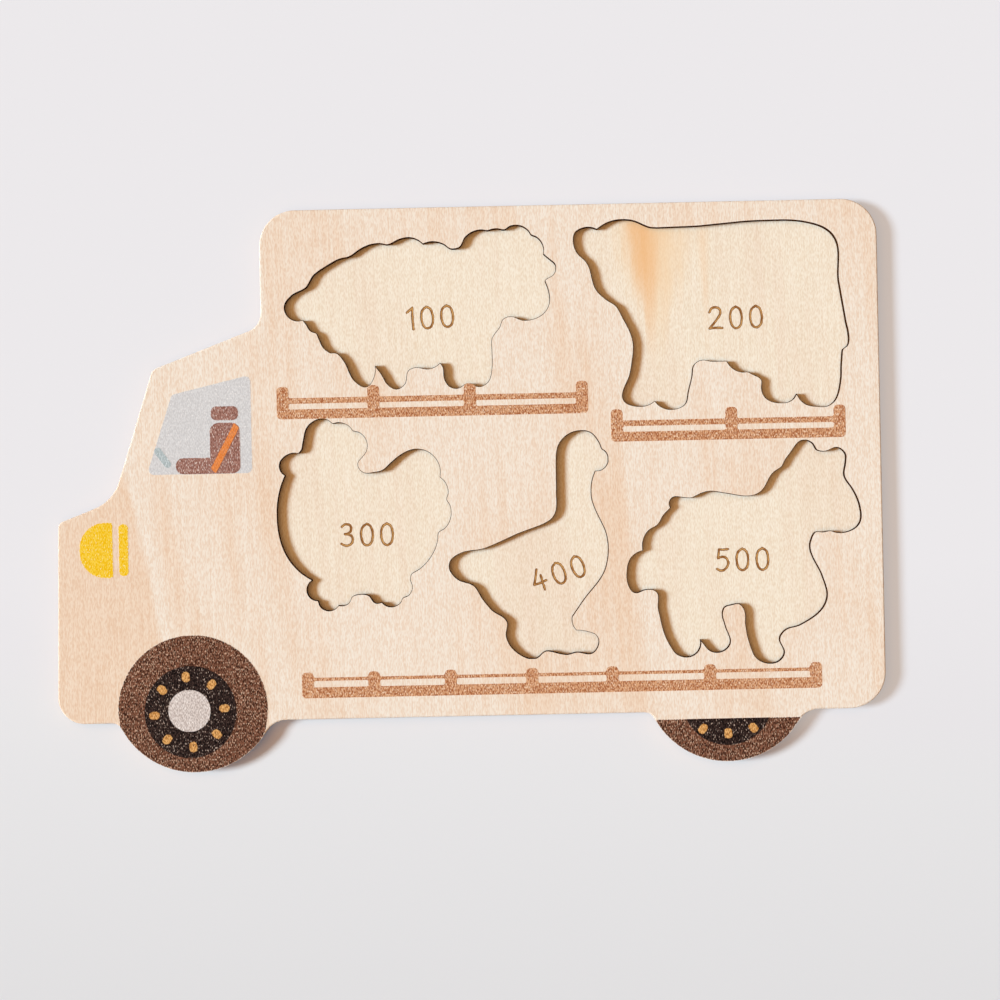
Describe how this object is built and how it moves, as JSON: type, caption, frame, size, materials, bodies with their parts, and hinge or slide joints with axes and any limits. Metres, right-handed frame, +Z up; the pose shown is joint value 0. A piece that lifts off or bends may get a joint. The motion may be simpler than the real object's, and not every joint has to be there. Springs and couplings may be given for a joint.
{
  "type": "shape board",
  "caption": "A flat plywood shape board in the outline of a farm lorry, with printed wheels, window and fences and animal-shaped recesses for loose shapes.",
  "frame": {"origin": "middle of the board's underside: half way along and across its outline, on the table plane", "axes": "+X from the lorry's nose to its tail, +Y from its wheels to its roof, +Z up out of the printed face"},
  "size_m": [0.2986, 0.2018, 0.0061],
  "materials": {
    "frame_wood": "bare sanded basswood veneer, pale with a pink cast",
    "base_wood": "bare sanded basswood veneer, pale cream",
    "core_wood": "cross-grain core ply, seen on the cut edges",
    "tyre_ink": "matt brown print",
    "disc_ink": "matt black print",
    "hub_ink": "matt pale grey print",
    "bolt_ink": "matt gold-yellow print",
    "lamp_ink": "matt yellow print",
    "glass_ink": "matt pale grey-blue print",
    "seat_ink": "matt rose-brown print",
    "belt_ink": "matt orange print",
    "rim_ink": "matt grey print",
    "fence_ink": "matt tan print with a crayon grain"
  },
  "bodies": {
    "root": {"base_back_veneer": "base_wood", "base_core_veneer": "core_wood", "base_face_veneer": "base_wood", "frame_inner_veneer": "frame_wood", "frame_core_veneer": "core_wood", "frame_face_veneer": "frame_wood", "print_front_tyre": "tyre_ink", "print_front_disc": "disc_ink", "print_front_hub": "hub_ink", "print_front_bolt_1": "bolt_ink", "print_front_bolt_2": "bolt_ink", "print_front_bolt_3": "bolt_ink", "print_front_bolt_4": "bolt_ink", "print_front_bolt_5": "bolt_ink", "print_front_bolt_6": "bolt_ink", "print_front_bolt_7": "bolt_ink", "print_front_bolt_8": "bolt_ink", "print_rear_tyre": "tyre_ink", "print_rear_disc": "disc_ink", "print_rear_bolt_1": "bolt_ink", "print_rear_bolt_2": "bolt_ink", "print_rear_bolt_3": "bolt_ink", "print_headlight_lens": "lamp_ink", "print_headlight_bar": "lamp_ink", "print_cab_window": "glass_ink", "print_seat": "seat_ink", "print_headrest": "seat_ink", "print_seat_belt": "belt_ink", "print_steering_wheel": "rim_ink", "print_sheep_fence": "fence_ink", "print_cow_fence": "fence_ink", "print_low_fence": "fence_ink"}
  },
  "joints": []
}
